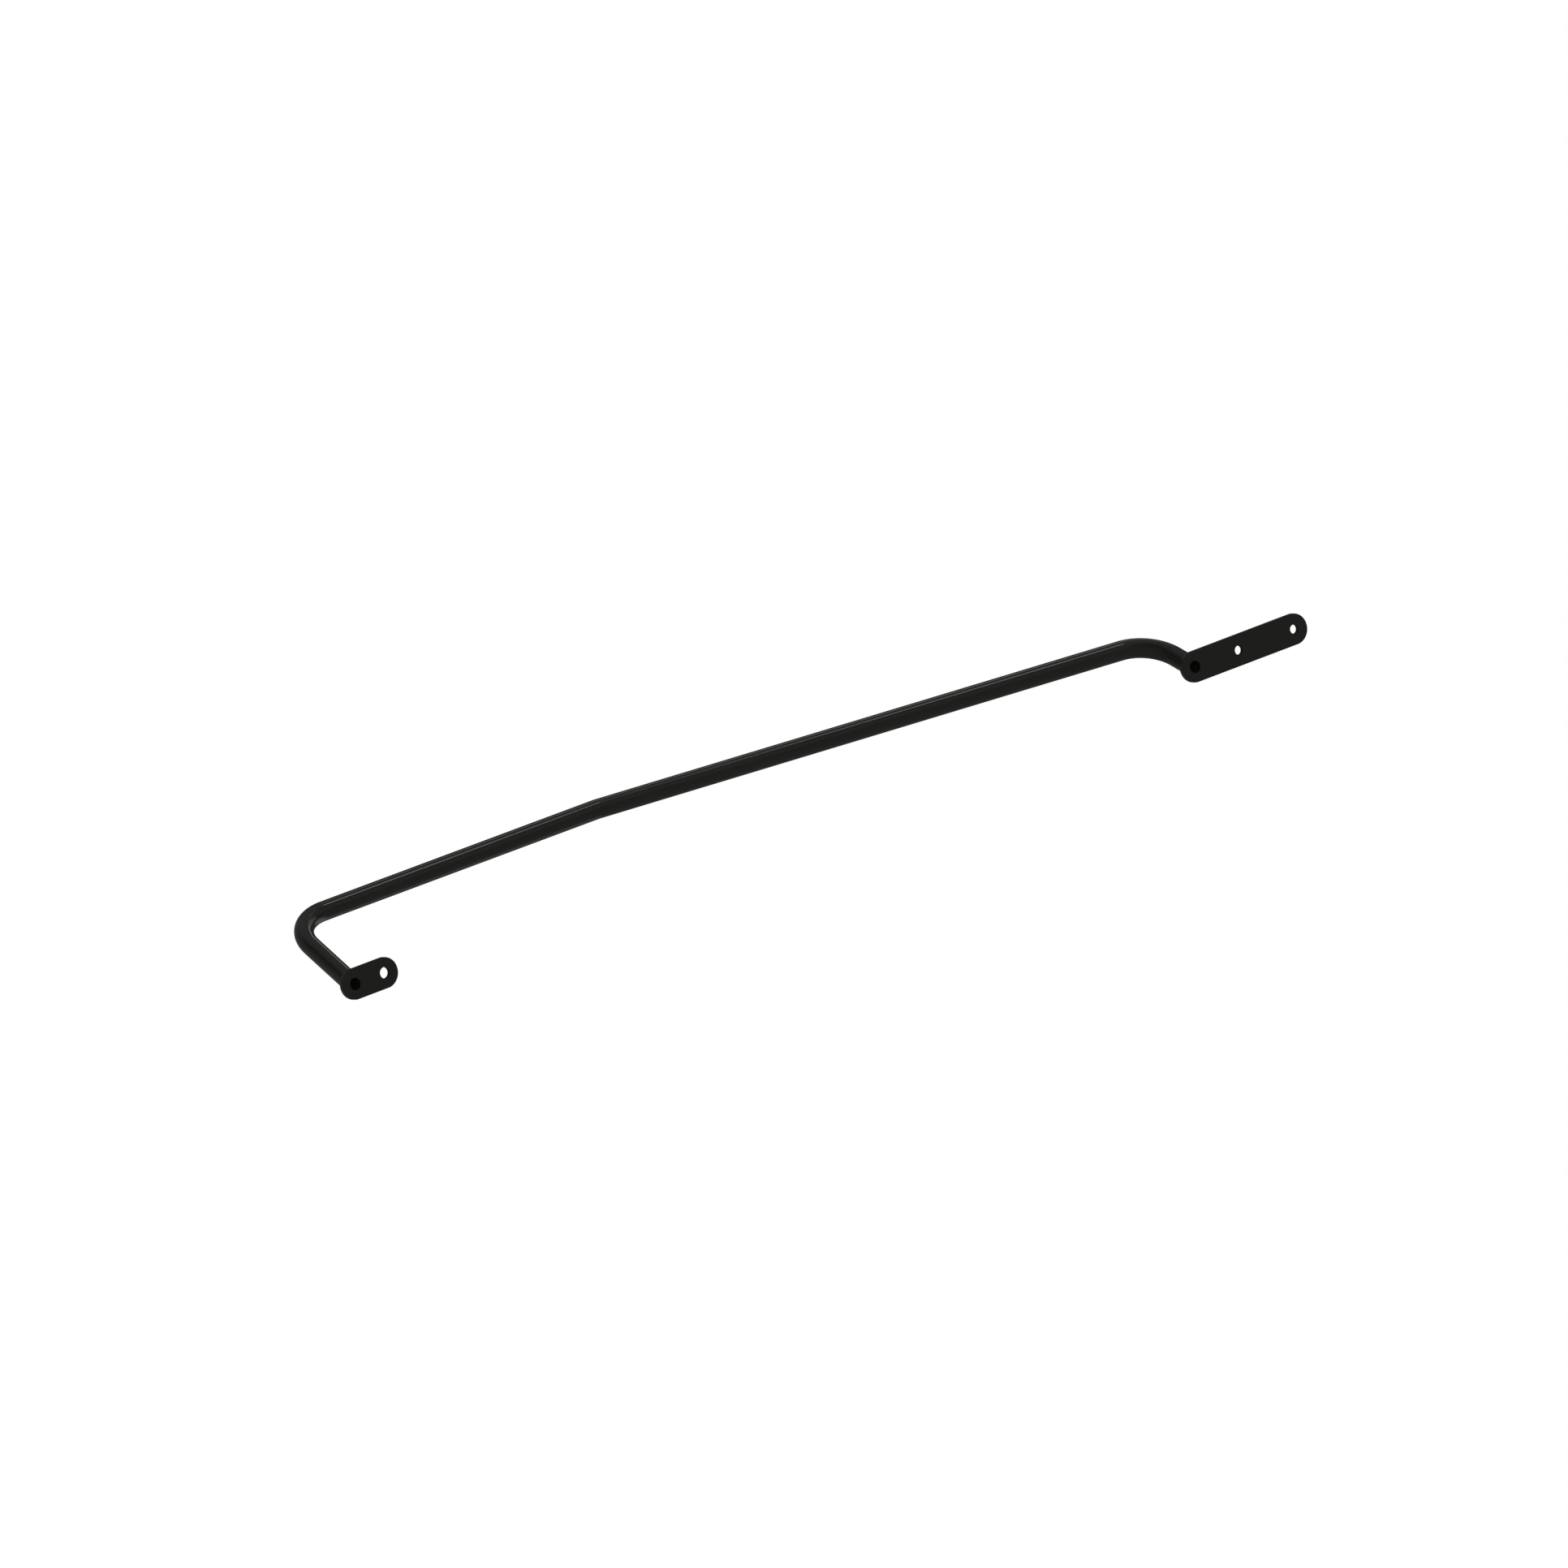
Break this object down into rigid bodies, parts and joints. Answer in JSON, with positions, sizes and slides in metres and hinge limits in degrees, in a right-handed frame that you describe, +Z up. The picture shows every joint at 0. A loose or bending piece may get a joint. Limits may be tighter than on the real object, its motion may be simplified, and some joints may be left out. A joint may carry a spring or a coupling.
{
  "type": "sway bar",
  "caption": "One-piece rear anti-roll bar: round steel tube bent in one plane, with a short and a long flat drilled plate welded across its ends, black powder coat.",
  "frame": {"origin": "on the long plate's mounting face, midway between its two bolt holes", "axes": "+X along both end plates, from the short plate's end of the bar towards the long plate's free end; -Y is the outward normal of both mounting faces; +Z up, square to both"},
  "size_m": [1.3272, 0.1329, 0.096],
  "materials": {
    "tube_coat": "semi-gloss black powder coat over drawn steel tube",
    "plate_coat": "semi-gloss black powder coat over flat steel plate",
    "weld_coat": "semi-gloss black powder coat over a rippled fillet weld"
  },
  "bodies": {
    "root": {"bar_tube": "tube_coat", "short_end_plate": "plate_coat", "long_end_plate": "plate_coat", "short_plate_weld": "weld_coat", "long_plate_weld": "weld_coat"}
  },
  "joints": []
}
